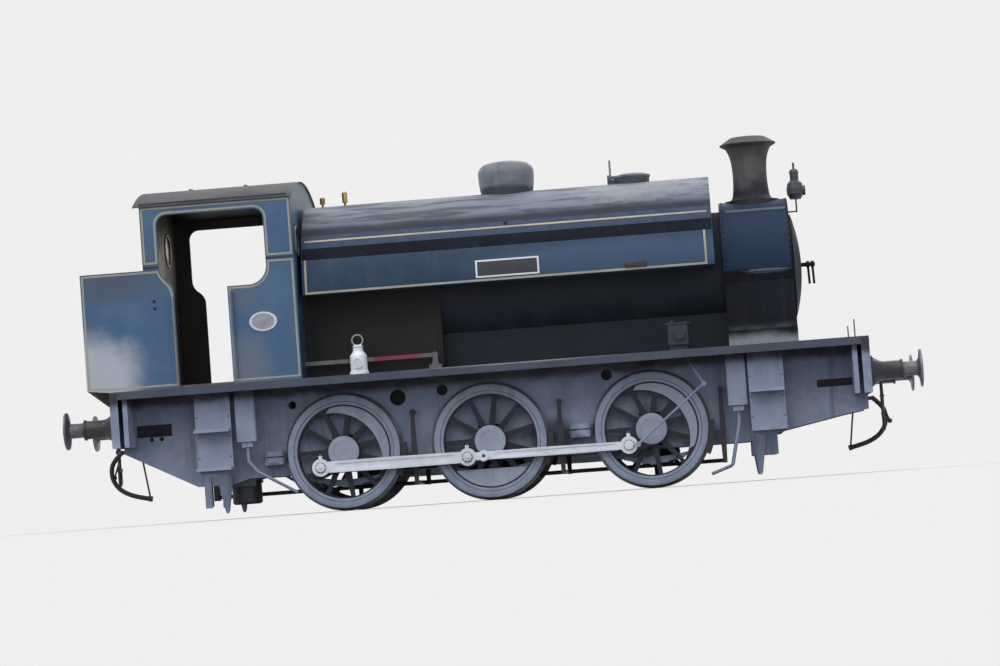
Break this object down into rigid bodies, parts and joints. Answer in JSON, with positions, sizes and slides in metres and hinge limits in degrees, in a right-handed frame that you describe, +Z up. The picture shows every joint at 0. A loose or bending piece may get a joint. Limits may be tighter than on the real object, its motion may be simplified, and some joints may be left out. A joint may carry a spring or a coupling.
{
  "type": "steam locomotive",
  "caption": "Industrial six-coupled saddle tank steam locomotive with inside cylinders, an enclosed cab, a rear coal bunker and outside coupling rods.",
  "frame": {"origin": "On the floor under the middle of the length over buffers, where the floor touches the flange tips", "axes": "+X forward to the chimney end, +Y to the left-hand side, +Z up"},
  "size_m": [9.342, 2.444, 3.7929],
  "materials": {
    "blue_paint": "gloss blue engine paint, weathered",
    "black_paint": "black engine paint",
    "frame_paint": "dusty grey-black frame paint",
    "tank_paint": "weathered blue paint on the tank",
    "wheel_paint": "dusty grey wheel paint",
    "tyre_steel": "worn tyre steel",
    "rod_steel": "bright polished rods",
    "cast_iron": "rough cast iron",
    "chimney_iron": "weathered cast iron",
    "brass": "dull brass",
    "floor_wood": "oiled planks",
    "hose_rubber": "ribbed rubber hose",
    "red_paint": "red paint",
    "white_paint": "white paint"
  },
  "bodies": {
    "engine": {"frame_plate_right": "frame_paint", "frame_plate_left": "frame_paint", "frame_stays": "frame_paint", "axleboxes": "frame_paint", "buffer_beam_front": "frame_paint", "buffer_beam_rear": "frame_paint", "running_plate_right": "frame_paint", "running_plate_left": "frame_paint", "steps": "frame_paint", "sandboxes": "frame_paint", "guard_irons": "frame_paint", "platforms": "frame_paint", "springs": "frame_paint", "lubricator": "frame_paint", "cylinder_block": "cast_iron", "brake_hangers": "cast_iron", "smokebox_saddle": "cast_iron", "blast_pipe": "cast_iron", "buffer_housings": "black_paint", "brake_rods": "black_paint", "boiler": "black_paint", "firebox": "black_paint", "smokebox": "black_paint", "door_hinges": "black_paint", "cab_roof": "black_paint", "dome_cover": "black_paint", "tank_filler": "black_paint", "headlamp": "black_paint", "hose_pipes": "black_paint", "buffer_rams": "tyre_steel", "chimney": "chimney_iron", "chimney_cap": "chimney_iron", "saddle_tank": "tank_paint", "cab_side_right": "blue_paint", "cab_side_left": "blue_paint", "cab_front": "blue_paint", "cab_rear": "blue_paint", "bunker": "blue_paint", "whistles": "brass", "cab_fittings": "brass", "reversing_rod": "red_paint", "hand_lamp": "white_paint", "brake_hose_front": "hose_rubber", "brake_hose_rear": "hose_rubber", "cab_floor": "floor_wood"},
    "wheelset_front": {"wheelset_front": "wheel_paint", "tyres_front": "tyre_steel"},
    "wheelset_middle": {"wheelset_middle": "wheel_paint", "tyres_middle": "tyre_steel"},
    "wheelset_rear": {"wheelset_rear": "wheel_paint", "tyres_rear": "tyre_steel"},
    "rods_right": {"coupling_rods_right": "rod_steel"},
    "rods_left": {"coupling_rods_left": "rod_steel"},
    "smokebox_door": {"smokebox_door": "black_paint"},
    "tank_lid": {"tank_lid": "black_paint"},
    "roof_hatch": {"roof_hatch": "black_paint"},
    "coupling_front": {"screw_coupling_front": "black_paint"},
    "coupling_rear": {"screw_coupling_rear": "black_paint"}
  },
  "joints": [
    {"name": "axle_middle", "type": "hinge", "parent": "engine", "child": "wheelset_middle", "pos_m": [-0.041, 0, 0.644], "axis": [0, 1, 0], "continuous": true},
    {"name": "axle_front", "type": "hinge", "parent": "engine", "child": "wheelset_front", "pos_m": [1.712, 0, 0.644], "axis": [0, 1, 0], "continuous": true},
    {"name": "axle_rear", "type": "hinge", "parent": "engine", "child": "wheelset_rear", "pos_m": [-1.641, 0, 0.644], "axis": [0, 1, 0], "continuous": true},
    {"name": "rod_right", "type": "hinge", "parent": "wheelset_middle", "child": "rods_right", "pos_m": [-0.29541, -0.877, 0.48502], "axis": [0, 1, 0], "continuous": true},
    {"name": "rod_left", "type": "hinge", "parent": "wheelset_middle", "child": "rods_left", "pos_m": [0.11798, 0.877, 0.38959], "axis": [0, 1, 0], "continuous": true},
    {"name": "door_hinge", "type": "hinge", "parent": "engine", "child": "smokebox_door", "pos_m": [3.409, 0.65, 2.338], "axis": [0, 0, 1], "range_deg": [0, 120]},
    {"name": "lid_hinge", "type": "hinge", "parent": "engine", "child": "tank_lid", "pos_m": [1.44, 0, 3.466], "axis": [0, -1, 0], "range_deg": [0, 110]},
    {"name": "hatch_slide", "type": "hinge", "parent": "engine", "child": "roof_hatch", "pos_m": [-2.899, 0, 0.61179], "axis": [1, 0, 0], "range_deg": [0, 11.4]},
    {"name": "coupling_front_swing", "type": "hinge", "parent": "engine", "child": "coupling_front", "pos_m": [4.25, 0, 1.082], "axis": [0, 1, 0], "range_deg": [-80, 10]},
    {"name": "coupling_rear_swing", "type": "hinge", "parent": "engine", "child": "coupling_rear", "pos_m": [-4.25, 0, 1.082], "axis": [0, 1, 0], "range_deg": [-10, 80]}
  ],
  "couplings": [
    {"joint": "axle_front", "follows": "axle_middle", "ratio": 1},
    {"joint": "axle_rear", "follows": "axle_middle", "ratio": 1},
    {"joint": "rod_right", "follows": "axle_middle", "ratio": -1},
    {"joint": "rod_left", "follows": "axle_middle", "ratio": -1}
  ]
}
